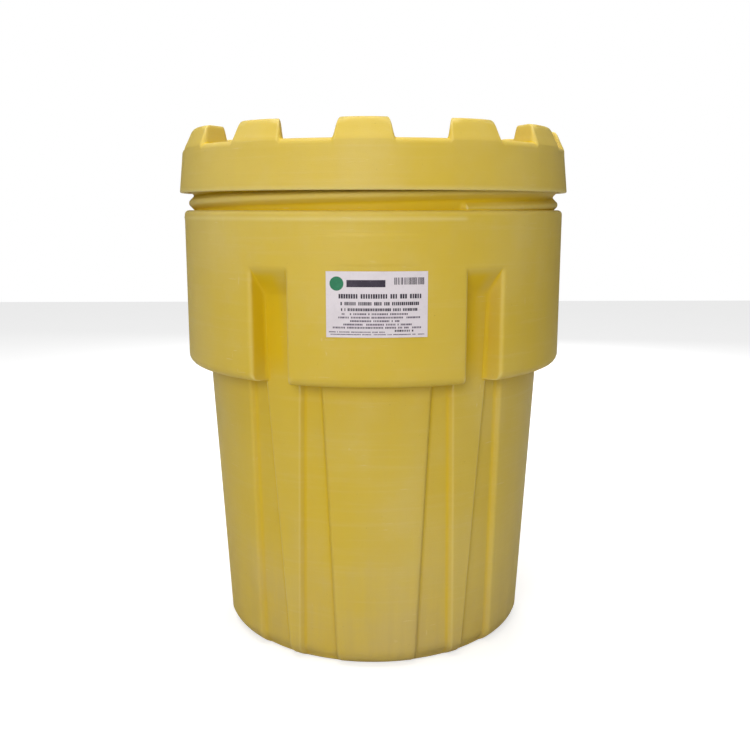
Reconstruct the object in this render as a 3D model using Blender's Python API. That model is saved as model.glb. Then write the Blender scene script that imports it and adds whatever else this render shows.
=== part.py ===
# Overpack salvage drum: a wide-mouth polyethylene drum with a screw-on, double-wall lid.
# Metres, +Z up. The origin is the middle of the base, on the floor, and the front faces -Y.
# An angle is counted from the front, counter-clockwise from above, so +90 degrees is +X.

import math

import bmesh
import bpy
from mathutils import Vector

# Fits
STEPS = 72                      # facets around a turned shape
FOOT_STEPS = 5                  # facets around each fillet of the drum
CORNER_STEPS = 4
SHOULDER_STEPS = 2
VENT_SIDES = 8
MERGE = 0.00001                 # points closer than this are one
FIT = 0.0003                    # gap between pieces that touch
OVERRUN = 0.02                  # how far a cutter passes the skin that it cuts

# Drum shell
WALL = 0.0055
BODY_HEIGHT = 0.982             # floor to neck rim
DRAFT = 0.0516                  # growth of the lower body's radius per metre of height
FOOT_FILLET = 0.036
BASE_RING_WIDTH = 0.089         # flat ring that the drum stands on
BASE_RISE = 0.006               # height of the middle of the base above that ring

# Wide upper band
BAND_RADIUS = 0.3995
BAND_STEP = 0.0435              # lower body to band, where the band's corner starts
BAND_HEIGHT = 0.298             # shoulder to where the lower corner starts to round in
BAND_SHOULDER_FILLET = 0.008
BAND_CORNER_FILLET = 0.018
BAND_CORNER_SWEEP = 84          # degrees of that corner
BAND_UNDERSIDE_SLOPE = 6        # degrees down from level, towards the lower body

# Six panels: a recess between neighbours in the band, a rib and two channels below it
PANELS = 6
RECESS_HALF_WIDTH = 0.0372      # at the lower body's surface
RECESS_FLARE = 0.0039           # extra half width at the band's surface
RECESS_DROP = 0.104             # shoulder to the recess, at the band's surface
RECESS_CEILING_SLOPE = 1.32     # rise of the ceiling for each metre outwards
CHANNEL_DEPTH = 0.010
PANEL_HALF_ANGLE = (14.0, 17.1)     # raised panel, at the floor and at the ledge
RIB_HALF_ANGLE = (2.5, 6.8)         # raised rib, at the floor and at the ledge

# Neck and its thread
NECK_HEIGHT = 0.088             # shoulder to neck rim
NECK_INSET = 0.020              # band to neck
THREAD_STARTS = 2
THREAD_LEAD = 0.060             # rise in one turn
THREAD_DEPTH = 0.0105
THREAD_CREST = 0.007            # flat width of the crest
THREAD_VALLEY = 0.002           # flat width between ribs
THREAD_START_ANGLE = 23.0
THREAD_START_RISE = 0.0016      # centre of the thread's start above the band's shoulder
THREAD_END_MARGIN = 0.002       # neck rim, or skirt's edge, to the thread's flank
THREAD_CLEARANCE = 0.0025       # lid thread to neck thread

# Lid and gasket
LID_WALL = 0.0045
LID_TURN = -3.5                 # degrees that the closed lid is turned from the front
LID_THICKNESS = 0.028           # both skins and the space between them
SKIRT_DEPTH = 0.089             # deck to lower edge of the skirt
SKIRT_EDGE = 0.015              # thickness of that edge
SHOULDER_EDGE = 0.0075          # skirt bore to the shoulder
SHOULDER_DROP = 0.011           # shoulder below the deck
SHOULDER_SLOPE = 0.0055         # shoulder in to the deck
DISH_WIDTH = 0.500
DISH_DEPTH = 0.008
LUGS = 12
LUG_HEIGHT = 0.036
LUG_DEPTH = 0.051               # between its inner and outer face, at the top
LUG_INSET = 0.0115              # deck's edge to the outer face, at the top
LUG_OUTER_HALF = 0.048          # half the width of the outer face, at the top
LUG_INNER_HALF = 0.0115         # half the width of the inner face, at the top
LUG_SPREAD = 0.0056             # extra half width at the deck
LUG_OUTER_LEAN = 0.0145         # extra outer radius at the deck
LUG_INNER_LEAN = 0.0056         # smaller inner radius at the deck
LUG_BEVEL = 0.005
VENT_RADIUS = 0.004             # moulding vent through the lid's lower skin
VENT_DISTANCE = 0.15
GASKET_THICKNESS = 0.0074
GASKET_OVERHANG = 0.003         # past each side of the neck rim

# Label on the front panel
LABEL_WIDTH = 0.184
LABEL_HEIGHT = 0.117
LABEL_DROP = 0.1635             # shoulder to the label's middle
LABEL_THICKNESS = 0.0006
LABEL_STEPS = 12

# Places that follow from the sizes above
BAND_TOP = BODY_HEIGHT - NECK_HEIGHT
BAND_CORNER_START = BAND_TOP - BAND_HEIGHT
RECESS_TOP = BAND_TOP - RECESS_DROP
CHANNEL_TOP = BAND_CORNER_START - BAND_CORNER_FILLET * 2 / 3
FOOT_RADIUS = BAND_RADIUS - BAND_STEP - DRAFT * BAND_CORNER_START
NECK_RADIUS = BAND_RADIUS - NECK_INSET
THREAD_PITCH = THREAD_LEAD / THREAD_STARTS
FLANK = (THREAD_PITCH - THREAD_CREST - THREAD_VALLEY) / 2 / THREAD_DEPTH    # run per depth
THREAD_SUNK = 0.4 * THREAD_VALLEY / FLANK   # into the wall, and short of the next rib
THREAD_ROOT = THREAD_PITCH - THREAD_VALLEY
THREAD_START = BAND_TOP + THREAD_START_RISE
THREAD_END = BODY_HEIGHT - THREAD_END_MARGIN - THREAD_ROOT / 2
LID_UNDERSIDE = BODY_HEIGHT + GASKET_THICKNESS + 2 * FIT
DECK = LID_UNDERSIDE + LID_THICKNESS
SKIRT_BOTTOM = DECK - SKIRT_DEPTH
SKIRT_BORE = NECK_RADIUS + THREAD_DEPTH + THREAD_CLEARANCE
SHOULDER_RADIUS = SKIRT_BORE + SHOULDER_EDGE
DECK_RADIUS = SHOULDER_RADIUS - SHOULDER_SLOPE
LUG_OUTER = DECK_RADIUS - LUG_INSET
LABEL_CENTRE = BAND_TOP - LABEL_DROP

YELLOW = (0.66, 0.50, 0.12, 1.0)
LID_YELLOW = (0.68, 0.53, 0.13, 1.0)
PAPER = (0.82, 0.78, 0.80, 1.0)
FOAM = (0.03, 0.03, 0.03, 1.0)


def point(radius, degrees, height):
    """Place a point by its radius, its angle from the front and its height."""
    turn = math.radians(degrees)
    return Vector((radius * math.sin(turn), -radius * math.cos(turn), height))


def beside(radius, degrees, aside, height):
    """Place a point at a distance to one side of the radial line at an angle."""
    turn = math.radians(degrees)
    along = Vector((math.sin(turn), -math.cos(turn), 0))
    across = Vector((math.cos(turn), math.sin(turn), 0))
    return along * radius + across * aside + Vector((0, 0, height))


def arc(centre_radius, centre_height, radius, start, end, pieces):
    """Points (radius, height) along an arc, with angles counted from outwards, up."""
    turns = [math.radians(start + (end - start) * i / pieces) for i in range(pieces + 1)]
    return [(centre_radius + radius * math.cos(t), centre_height + radius * math.sin(t)) for t in turns]


def make_object(name, bm):
    bmesh.ops.recalc_face_normals(bm, faces=bm.faces)
    mesh = bpy.data.meshes.new(name)
    bm.to_mesh(mesh)
    bm.free()
    solid = bpy.data.objects.new(name, mesh)
    bpy.context.scene.collection.objects.link(solid)
    return solid


def turned(name, profile, degrees=0.0):
    """Turn a closed or axis-to-axis profile of (radius, height) points about Z."""
    bm = bmesh.new()
    verts = [bm.verts.new(point(radius, degrees, height)) for radius, height in profile]
    edges = [bm.edges.new(pair) for pair in zip(verts, verts[1:])]
    if profile[0][0] > 0:
        edges.append(bm.edges.new((verts[-1], verts[0])))
    bmesh.ops.spin(bm, geom=verts + edges, cent=(0, 0, 0), axis=(0, 0, 1),
                   angle=2 * math.pi, steps=STEPS, use_duplicate=False)
    bmesh.ops.remove_doubles(bm, verts=bm.verts, dist=MERGE)
    return make_object(name, bm)


def add_loft(bm, rings):
    """Skin a list of equal rings of points, and cap both ends."""
    loops = [[bm.verts.new(p) for p in ring] for ring in rings]
    for low, high in zip(loops, loops[1:]):
        for i in range(len(low)):
            j = (i + 1) % len(low)
            bm.faces.new((low[i], low[j], high[j], high[i]))
    bm.faces.new(reversed(loops[0]))
    bm.faces.new(loops[-1])


def lofts(name, ring_lists, bevel=0.0):
    """One object of separate lofted solids, in triangles so that no face is twisted."""
    bm = bmesh.new()
    for rings in ring_lists:
        add_loft(bm, rings)
    if bevel:
        bmesh.ops.bevel(bm, geom=bm.edges[:], offset=bevel, segments=1, affect="EDGES")
    bmesh.ops.triangulate(bm, faces=bm.faces)
    return make_object(name, bm)


def combine(solid, tool, operation, solver="EXACT"):
    """Join or cut a solid with a helper, which the build leaves out.

    The thread ribs and the drum's cavity need MANIFOLD, because EXACT loses faces there.
    """
    tool.hide_render = True
    tool.display_type = "WIRE"
    boolean = solid.modifiers.new(operation.lower(), "BOOLEAN")
    boolean.operation = operation
    boolean.object = tool
    boolean.solver = solver


def finish(solid, name, colour, roughness):
    """Name a sub-part, shade it and give it its material."""
    solid.name = name
    solid.data.name = name
    solid.data.shade_smooth()
    material = bpy.data.materials.new(name)
    material.use_nodes = True
    shader = material.node_tree.nodes["Principled BSDF"]
    shader.inputs["Base Color"].default_value = colour
    shader.inputs["Roughness"].default_value = roughness
    solid.data.materials.append(material)
    return solid


def body_radius(height):
    """Outer radius of the lower body's raised surfaces."""
    return FOOT_RADIUS + DRAFT * height


def core_profile(inset):
    """Neck, tapered body, foot and base, moved inwards by an inset."""
    top = BODY_HEIGHT + (OVERRUN if inset else 0)
    fillet_centre = body_radius(FOOT_FILLET) - FOOT_FILLET
    foot = arc(fillet_centre, FOOT_FILLET, FOOT_FILLET - inset, 0, -90, FOOT_STEPS)
    return [
        (0, top),
        (NECK_RADIUS - inset, top),
        (NECK_RADIUS - inset, BAND_TOP - OVERRUN),
        (body_radius(RECESS_TOP) - inset, RECESS_TOP),
        *foot,
        (fillet_centre - BASE_RING_WIDTH, inset),
        (fillet_centre - BASE_RING_WIDTH - BASE_RISE, BASE_RISE + inset),
        (0, BASE_RISE + inset),
    ]


def band_profile(inset):
    """Ring of the upper band, reaching into the core, moved inwards by an inset."""
    buried = body_radius(0) - inset
    corner_centre = BAND_RADIUS - BAND_CORNER_FILLET
    corner = arc(corner_centre, BAND_CORNER_START, BAND_CORNER_FILLET - inset,
                 0, -BAND_CORNER_SWEEP, CORNER_STEPS)
    last_radius, last_height = corner[-1]
    drop = (last_radius - buried) * math.tan(math.radians(BAND_UNDERSIDE_SLOPE))
    fillet = max(BAND_SHOULDER_FILLET - inset, FIT)
    shoulder = arc(BAND_RADIUS - inset - fillet, BAND_TOP - inset - fillet, fillet,
                   90, 0, SHOULDER_STEPS)
    return [(buried, BAND_TOP - inset), *shoulder, *corner, (buried, last_height - drop)]


def recess_rings(panel, grow):
    """Cutter for the recess beside a panel, grown by a wall for the inside."""
    middle = (panel + 0.5) * 360 / PANELS
    near = body_radius(0) - OVERRUN
    far = BAND_RADIUS + OVERRUN
    flare = RECESS_FLARE / (BAND_RADIUS - body_radius(RECESS_TOP))

    def half_width(radius):
        return RECESS_HALF_WIDTH + grow + (radius - body_radius(RECESS_TOP)) * flare

    def ceiling(radius):
        lift = grow * math.hypot(1, RECESS_CEILING_SLOPE)
        return RECESS_TOP + lift - (BAND_RADIUS - radius) * RECESS_CEILING_SLOPE

    bottom = BAND_CORNER_START - 4 * BAND_CORNER_FILLET
    plan = [(near, -1), (far, -1), (far, 1), (near, 1)]
    return [
        [beside(r, middle, side * half_width(r), bottom) for r, side in plan],
        [beside(r, middle, side * half_width(r), ceiling(r)) for r, side in plan],
    ]


def channel_rings(middle, side, grow):
    """Cutter for the channel between a panel and the rib on one side of it."""
    rings = []
    for height in (-OVERRUN, CHANNEL_TOP):
        share = height / CHANNEL_TOP
        panel_edge = PANEL_HALF_ANGLE[0] + (PANEL_HALF_ANGLE[1] - PANEL_HALF_ANGLE[0]) * share
        rib_half = RIB_HALF_ANGLE[0] + (RIB_HALF_ANGLE[1] - RIB_HALF_ANGLE[0]) * share
        rib_edge = 180 / PANELS - rib_half
        floor = body_radius(height) - CHANNEL_DEPTH - grow
        outside = body_radius(height) + OVERRUN
        plan = []
        for radius, edge, way in ((floor, panel_edge, -1), (outside, panel_edge, -1),
                                  (outside, rib_edge, 1), (floor, rib_edge, 1)):
            # Sides lean at 45 degrees about the edge at half depth
            lean = radius - body_radius(height) + CHANNEL_DEPTH / 2 + grow * math.sqrt(2)
            aside = math.degrees(lean / radius)
            plan.append(point(radius, middle + side * (edge + way * aside), height))
        rings.append(plan)
    return rings


def cut_channels(solid, grow):
    """Cut one side of every panel at a time, so that no cutter crosses itself."""
    for side in (-1, 1):
        rings = [channel_rings(panel * 360 / PANELS, side, grow) for panel in range(PANELS)]
        combine(solid, lofts("channels", rings), "DIFFERENCE")


def thread_rib(first_angle, first_height, wall, tip, root_width, tip_width):
    """A helical rib that stands on a wall as a trapezium, with its flanks carried into it."""
    steps = math.floor((THREAD_END - first_height) / THREAD_LEAD * STEPS)
    sunk = wall - math.copysign(THREAD_SUNK, tip - wall)
    foot = root_width / 2 + THREAD_SUNK * FLANK
    section = [(sunk, -foot), (tip, -tip_width / 2), (tip, tip_width / 2), (sunk, foot)]
    rings = []
    for step in range(steps + 1):
        angle = first_angle + step * 360 / STEPS
        centre = first_height + step / STEPS * THREAD_LEAD
        rings.append([point(radius, angle, centre + rise) for radius, rise in section])
    return lofts("thread_rib", [rings])


def neck_thread():
    """One rib for each start around the neck."""
    angles = [THREAD_START_ANGLE + start * 360 / THREAD_STARTS for start in range(THREAD_STARTS)]
    return [thread_rib(angle, THREAD_START, NECK_RADIUS, NECK_RADIUS + THREAD_DEPTH,
                       THREAD_ROOT, THREAD_CREST) for angle in angles]


def lid_thread():
    """Ribs inside the skirt, midway between the neck's, clear of them on both flanks."""
    tip = NECK_RADIUS + THREAD_CLEARANCE
    tip_width = THREAD_VALLEY + 2 * (tip - NECK_RADIUS) * FLANK - 2 * THREAD_CLEARANCE
    root_width = tip_width + 2 * (SKIRT_BORE - tip) * FLANK
    low = SKIRT_BOTTOM + root_width / 2 + THREAD_END_MARGIN
    # The angle at which the middle of the valley stands at that height
    first = THREAD_START_ANGLE + (low - THREAD_START - THREAD_PITCH / 2) / THREAD_LEAD * 360
    angles = [first + start * 360 / THREAD_STARTS for start in range(THREAD_STARTS)]
    return [thread_rib(angle, low, SKIRT_BORE, tip, root_width, tip_width) for angle in angles]


def drum_body():
    outside = turned("outside", core_profile(0))
    cut_channels(outside, 0)
    band = turned("band", band_profile(0))
    combine(band, lofts("recesses", [recess_rings(p, 0) for p in range(PANELS)]), "DIFFERENCE")
    combine(outside, band, "UNION")
    for rib in neck_thread():
        combine(outside, rib, "UNION", "MANIFOLD")

    cavity = turned("cavity", core_profile(WALL))
    cut_channels(cavity, WALL)
    inner_band = turned("inner_band", band_profile(WALL))
    inner_recesses = lofts("inner_recesses", [recess_rings(p, WALL) for p in range(PANELS)])
    combine(inner_band, inner_recesses, "DIFFERENCE")
    combine(cavity, inner_band, "UNION")
    combine(outside, cavity, "DIFFERENCE", "MANIFOLD")
    return finish(outside, "drum_body", YELLOW, 0.45)


def lug_rings(degrees, inset, foot):
    """Block of one lid lug from a foot height to its top, moved inwards by an inset."""
    rings = []
    for height in (foot, DECK + LUG_HEIGHT - inset):
        below_top = (DECK + LUG_HEIGHT - height) / LUG_HEIGHT
        inner = LUG_OUTER - LUG_DEPTH + inset - LUG_INNER_LEAN * below_top
        outer = LUG_OUTER - inset + LUG_OUTER_LEAN * below_top
        spread = LUG_SPREAD * below_top - inset
        inner_half = LUG_INNER_HALF + spread
        outer_half = LUG_OUTER_HALF + spread
        edge = math.sqrt(outer * outer - outer_half * outer_half)
        plan = [(inner, -inner_half), (edge, -outer_half), (outer, 0), (edge, outer_half), (inner, inner_half)]
        rings.append([beside(radius, degrees, aside, height) for radius, aside in plan])
    return rings


def lug_blocks(name, inset, foot, bevel):
    return lofts(name, [lug_rings(LID_TURN + i * 360 / LUGS, inset, foot) for i in range(LUGS)], bevel)


def lid():
    shoulder = DECK - SHOULDER_DROP
    outside = turned("lid_outside", [
        (0, DECK - DISH_DEPTH),
        (DISH_WIDTH / 2 - DISH_DEPTH, DECK - DISH_DEPTH),
        (DISH_WIDTH / 2, DECK),
        (DECK_RADIUS, DECK),
        (SHOULDER_RADIUS - SHOULDER_SLOPE / 3, DECK - SHOULDER_DROP / 2),
        (SHOULDER_RADIUS, shoulder),
        (SKIRT_BORE + SKIRT_EDGE, SKIRT_BOTTOM),
        (SKIRT_BORE, SKIRT_BOTTOM),
        (SKIRT_BORE, LID_UNDERSIDE),
        (0, LID_UNDERSIDE),
    ], LID_TURN)
    combine(outside, lug_blocks("lugs", 0, DECK - LID_THICKNESS / 2, LUG_BEVEL), "UNION")
    for rib in lid_thread():
        combine(outside, rib, "UNION", "MANIFOLD")

    # The space between the two skins, which also fills the lugs
    floor = LID_UNDERSIDE + LID_WALL
    edge = SKIRT_BORE - LID_WALL
    space = turned("space", [
        (0, DECK - DISH_DEPTH - LID_WALL),
        (DISH_WIDTH / 2 - DISH_DEPTH + LID_WALL, DECK - DISH_DEPTH - LID_WALL),
        (DISH_WIDTH / 2 + LID_WALL, DECK - LID_WALL),
        (edge, DECK - LID_WALL),
        (edge, floor),
        (0, floor),
    ], LID_TURN)
    combine(space, lug_blocks("lug_hollows", LID_WALL, floor + LID_WALL, 0), "UNION")
    vent_top = floor + LID_WALL / 2
    vent_corners = [(VENT_RADIUS * math.cos(t), VENT_RADIUS * math.sin(t))
                    for t in (2 * math.pi * i / VENT_SIDES for i in range(VENT_SIDES))]
    vent_rings = [[beside(VENT_DISTANCE + x, LID_TURN, y, height) for x, y in vent_corners]
                  for height in (LID_UNDERSIDE - OVERRUN, vent_top)]
    vent = lofts("vent", [vent_rings])
    combine(space, vent, "UNION")
    combine(outside, space, "DIFFERENCE")
    return finish(outside, "lid", LID_YELLOW, 0.45)


def lid_gasket():
    inner = NECK_RADIUS - WALL - GASKET_OVERHANG
    outer = NECK_RADIUS + GASKET_OVERHANG
    low = BODY_HEIGHT + FIT
    high = low + GASKET_THICKNESS
    ring = turned("ring", [(outer, high), (outer, low), (inner, low), (inner, high)])
    return finish(ring, "lid_gasket", FOAM, 0.9)


def label():
    """A thin sheet bent to the front panel."""
    near = BAND_RADIUS + FIT
    far = near + LABEL_THICKNESS
    half = math.degrees(LABEL_WIDTH / 2 / BAND_RADIUS)
    low = LABEL_CENTRE - LABEL_HEIGHT / 2
    high = LABEL_CENTRE + LABEL_HEIGHT / 2
    rings = []
    for step in range(LABEL_STEPS + 1):
        angle = half * (2 * step / LABEL_STEPS - 1)
        section = [(near, low), (far, low), (far, high), (near, high)]
        rings.append([point(radius, angle, height) for radius, height in section])
    return finish(lofts("sheet", [rings]), "label", PAPER, 0.4)


def main():
    for old in list(bpy.data.objects):
        bpy.data.objects.remove(old)
    drum_body()
    lid()
    lid_gasket()
    label()


main()
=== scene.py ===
import math

import bmesh
import bpy
import numpy as np
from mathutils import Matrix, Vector


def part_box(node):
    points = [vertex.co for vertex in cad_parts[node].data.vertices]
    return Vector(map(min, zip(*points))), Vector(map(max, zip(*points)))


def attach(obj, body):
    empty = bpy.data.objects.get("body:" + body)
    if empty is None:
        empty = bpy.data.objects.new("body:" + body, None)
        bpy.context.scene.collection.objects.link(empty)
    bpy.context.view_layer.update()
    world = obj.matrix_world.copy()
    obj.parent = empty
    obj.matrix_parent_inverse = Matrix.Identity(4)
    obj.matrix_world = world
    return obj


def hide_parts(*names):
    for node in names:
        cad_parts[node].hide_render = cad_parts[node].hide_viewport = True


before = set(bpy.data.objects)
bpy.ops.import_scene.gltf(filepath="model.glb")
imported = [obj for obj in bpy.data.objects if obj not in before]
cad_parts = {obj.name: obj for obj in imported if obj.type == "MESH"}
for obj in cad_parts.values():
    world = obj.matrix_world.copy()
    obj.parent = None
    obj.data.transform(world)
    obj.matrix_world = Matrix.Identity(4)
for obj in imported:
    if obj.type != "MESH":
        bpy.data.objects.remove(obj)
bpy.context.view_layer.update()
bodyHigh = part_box("drum_body")[1]
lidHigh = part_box("lid")[1]
ringLow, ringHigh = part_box("lid_gasket")
labelLow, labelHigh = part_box("label")

# Metres and degrees. A turn is counted from the front, counter-clockwise from above.
# Places that both the drum and the lid need
lugRise = 0.036                 # deck to the top of the lugs
neckStep = 0.020                # band to neck
rim = bodyHigh.z
bandRadius = bodyHigh.x
deck = lidHigh.z - lugRise
neckRadius = bandRadius - neckStep
threadStarts = 2
threadLead = 0.060              # rise in one turn
threadValley = 0.0022           # flat between two ribs
thread = {
    "startTurn": 360.0 / threadStarts,
    "pitch": threadLead / threadStarts,
    "depth": 0.0103,
    "crest": 0.0068,
    "firstTurn": 23.0,
    "firstHeight": rim - 0.0864,
    "lastHeight": rim - 0.016,
    "fadeTurn": 1.6,            # degrees over which a rib grows from the neck
    "crestSoft": 0.0035,
    "rootSoft": 0.0025,
    "endSoft": 0.0004,
}
thread["flank"] = (thread["pitch"] - thread["crest"] - threadValley) / 2 / thread["depth"]


def plug(tree, value, socket):
    if isinstance(value, Field):
        tree.links.new(value.socket, socket)
    else:
        socket.default_value = value


class Field:
    # a number that varies over a mesh or a surface, so that node maths reads as maths
    def __init__(self, tree, socket):
        self.tree, self.socket = tree, socket

    def math(self, operation, *others, clamp=False):
        node = self.tree.nodes.new("ShaderNodeMath")
        node.operation = operation
        node.use_clamp = clamp
        for value, socket in zip((self, *others), node.inputs):
            plug(self.tree, value, socket)
        return Field(self.tree, node.outputs[0])

    def __add__(self, other):
        return self.math("ADD", other)

    def __sub__(self, other):
        return self.math("SUBTRACT", other)

    def __mul__(self, other):
        return self.math("MULTIPLY", other)

    def __truediv__(self, other):
        return self.math("DIVIDE", other)

    __radd__ = __add__
    __rmul__ = __mul__

    def __neg__(self):
        return self * -1.0

    def __rsub__(self, other):
        return (-self) + other

    def squared(self):
        return self * self

    def atLeast(self, other, soft=0.0):
        return self.math("SMOOTH_MAX", other, soft) if soft else self.math("MAXIMUM", other)

    def atMost(self, other, soft=0.0):
        return self.math("SMOOTH_MIN", other, soft) if soft else self.math("MINIMUM", other)

    def share(self, low, high):
        # 0 below low and 1 above high, rising smoothly
        node = self.tree.nodes.new("ShaderNodeMapRange")
        node.interpolation_type = "SMOOTHSTEP"
        for value, socket in zip((self, low, high, 0.0, 1.0), node.inputs):
            plug(self.tree, value, socket)
        return Field(self.tree, node.outputs[0])

    def mixTo(self, other, amount):
        return self + (other - self) * amount


def newTree(name, sizes):
    # a Geometry Nodes tree with one named input for each size
    tree = bpy.data.node_groups.new(name, "GeometryNodeTree")
    tree.interface.new_socket("Geometry", in_out="INPUT", socket_type="NodeSocketGeometry")
    for key, value in sizes.items():
        kind = "NodeSocketInt" if isinstance(value, int) else "NodeSocketFloat"
        tree.interface.new_socket(key, in_out="INPUT", socket_type=kind).default_value = value
    tree.interface.new_socket("Geometry", in_out="OUTPUT", socket_type="NodeSocketGeometry")
    entry = tree.nodes.new("NodeGroupInput")
    fields = {key: Field(tree, entry.outputs[key]) for key in sizes}
    return tree, entry.outputs["Geometry"], fields


def stored(tree, name):
    node = tree.nodes.new("GeometryNodeInputNamedAttribute")
    node.data_type = "FLOAT"
    node.inputs["Name"].default_value = name
    return Field(tree, node.outputs["Attribute"])


def place(tree, geometry, x, y, z):
    node = tree.nodes.new("GeometryNodeSetPosition")
    together = tree.nodes.new("ShaderNodeCombineXYZ")
    for value, socket in zip((x, y, z), together.inputs):
        plug(tree, value, socket)
    tree.links.new(geometry, node.inputs["Geometry"])
    tree.links.new(together.outputs[0], node.inputs["Position"])
    return node.outputs["Geometry"]


def store(tree, geometry, name, field):
    node = tree.nodes.new("GeometryNodeStoreNamedAttribute")
    node.data_type = "FLOAT"
    node.domain = "POINT"
    node.inputs["Name"].default_value = name
    tree.links.new(geometry, node.inputs["Geometry"])
    plug(tree, field, node.inputs["Value"])
    return node.outputs["Geometry"]


def endTree(tree, geometry, material):
    realize = tree.nodes.new("GeometryNodeRealizeInstances")
    painted = tree.nodes.new("GeometryNodeSetMaterial")
    painted.inputs["Material"].default_value = material
    leave = tree.nodes.new("NodeGroupOutput")
    tree.links.new(geometry, realize.inputs["Geometry"])
    tree.links.new(realize.outputs["Geometry"], painted.inputs["Geometry"])
    tree.links.new(painted.outputs["Geometry"], leave.inputs["Geometry"])


def grown(piece, tree, sizes):
    # the mesh that a tree makes of a piece, as a plain mesh with no modifier
    modifier = piece.modifiers.new(tree.name, "NODES")
    modifier.node_group = tree
    sockets = {s.name: s.identifier for s in tree.interface.items_tree if s.in_out == "INPUT"}
    for key, value in sizes.items():
        modifier[sockets[key]] = value
    bpy.context.view_layer.update()
    mesh = bpy.data.meshes.new_from_object(piece.evaluated_get(bpy.context.evaluated_depsgraph_get()))
    piece.modifiers.clear()
    piece.data = mesh
    mesh.name = piece.name
    return piece


def newPiece(name, verts, faces):
    mesh = bpy.data.meshes.new(name)
    mesh.from_pydata([tuple(v) for v in verts], [], faces)
    mesh.update()
    piece = bpy.data.objects.new(name, mesh)
    bpy.context.scene.collection.objects.link(piece)
    return piece


def threadRib(tree, size, about, z):
    # how far a thread stands out, where about is the turn since its first start
    part = (about / size["startTurn"]).math("FRACT")
    level = (z - size["firstHeight"]) / size["pitch"] - part
    nearest = level.math("ROUND").atLeast(0.0)
    off = ((level - nearest) * size["pitch"]).math("ABSOLUTE")
    raised = (size["crest"] / 2.0 + size["flank"] * size["depth"] - off) / size["flank"]
    raised = raised.atMost(size["depth"], size["crestSoft"]).atLeast(0.0, size["rootSoft"])
    fade = (part * size["startTurn"] / size["fadeTurn"]).share(0.0, 1.0)
    fade = fade.atLeast(nearest).atMost(1.0)
    centre = (nearest + part) * size["pitch"] + size["firstHeight"]
    finish = (size["lastHeight"] - centre).share(-size["endSoft"], size["endSoft"])
    return raised * fade * finish * stored(tree, "ribbed")


def turnedGrid(name, turns, rows):
    # rows of equal rings from pole to pole, or closed on itself where neither end is a pole
    # a row is a dictionary of numbers, which every point of its ring keeps as attributes
    # turns holds one list of degrees for each row
    poles = rows[0]["radius"] == 0
    count = len(turns[0])
    ringRows = rows[1:-1] if poles else rows
    ringTurns = turns[1:-1] if poles else turns
    faces = []
    last = len(ringRows) - 1
    for r in range(last if poles else last + 1):
        above = (r + 1) % len(ringRows)
        for c in range(count):
            d = (c + 1) % count
            faces.append((r * count + c, r * count + d, above * count + d, above * count + c))
    total = len(ringRows) * count
    keys = list(rows[0])
    columns = {key: np.repeat([row[key] for row in ringRows], count) for key in keys}
    turn = np.concatenate([np.asarray(t, float) for t in ringTurns])
    if poles:
        for c in range(count):
            d = (c + 1) % count
            faces.append((total, d, c))
            faces.append((total + 1, last * count + c, last * count + d))
        for key in keys:
            columns[key] = np.append(columns[key], [rows[0][key], rows[-1][key]])
        turn = np.append(turn, [0.0, 0.0])
    columns["turn"] = turn
    angle = np.radians(turn)
    across, onward = columns["radius"] * np.sin(angle), -columns["radius"] * np.cos(angle)
    verts = np.stack([across, onward, columns["height"]], 1)
    piece = newPiece(name, verts, faces)
    for key, values in columns.items():
        layer = piece.data.attributes.new(key, "FLOAT", "POINT")
        layer.data.foreach_set("value", np.asarray(values, np.float32))
    return piece


def arc(radius, height, size, start, end, count):
    turns = np.radians(np.linspace(start, end, count))
    return [(radius + size * math.cos(t), height + size * math.sin(t)) for t in turns]


def steps(start, end, size):
    # evenly spaced values from start, up to but not including end
    count = max(1, round(abs(end - start) / size))
    return list(np.linspace(start, end, count, endpoint=False))


def denser(middle, before, after, count):
    # values around a middle, closer together near it
    shares = np.linspace(-1, 1, count)
    return [middle + (before if t < 0 else after) * t * abs(t) for t in shares]


def turnOutwards(mesh):
    # a closed mesh whose faces point in has a negative volume
    work = bmesh.new()
    work.from_mesh(mesh)
    if work.calc_volume(signed=True) < 0:
        mesh.flip_normals()
    work.free()


def banded(bands, end):
    # heights from band to band, where each band is (its start, its spacing)
    heights = []
    for (start, spacing), (after, _) in zip(bands, bands[1:] + [(end, 0)]):
        heights += steps(start, after, spacing)
    return heights


edgeBlurs = 2


def finishMesh(piece, keep):
    # smooth shading, and how convex the surface is, for painted highlights on convex edges and painted
    # shade in concave creases
    mesh = piece.data
    turnOutwards(mesh)
    mesh.shade_smooth()
    count = len(mesh.vertices)
    places = np.empty(count * 3, np.float32)
    normals = np.empty(count * 3, np.float32)
    ends = np.empty(len(mesh.edges) * 2, np.int32)
    mesh.vertices.foreach_get("co", places)
    mesh.vertex_normals.foreach_get("vector", normals)
    mesh.edges.foreach_get("vertices", ends)
    places, normals = places.reshape(-1, 3).astype(float), normals.reshape(-1, 3).astype(float)
    a, b = ends.reshape(-1, 2).T
    across = places[b] - places[a]
    length = np.maximum((across ** 2).sum(1), 1e-9)
    bend = ((normals[b] - normals[a]) * across).sum(1) / length
    value = np.zeros(count)
    total = np.zeros(count)
    for end in (a, b):
        np.add.at(value, end, bend)
        np.add.at(total, end, 1.0)
    value /= np.maximum(total, 1.0)
    for _ in range(edgeBlurs):
        spread = np.zeros(count)
        near = np.zeros(count)
        for end, other in ((a, b), (b, a)):
            np.add.at(spread, end, value[other])
            np.add.at(near, end, 1.0)
        value = value * 0.5 + spread / np.maximum(near, 1.0) * 0.5
    layer = mesh.attributes.new("edge", "FLOAT", "POINT")
    layer.data.foreach_set("value", value.astype(np.float32))
    for layer in [x.name for x in mesh.attributes if x.data_type == "FLOAT" and x.domain == "POINT"]:
        if layer not in (*keep, "edge"):
            mesh.attributes.remove(mesh.attributes[layer])
    return piece


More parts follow.
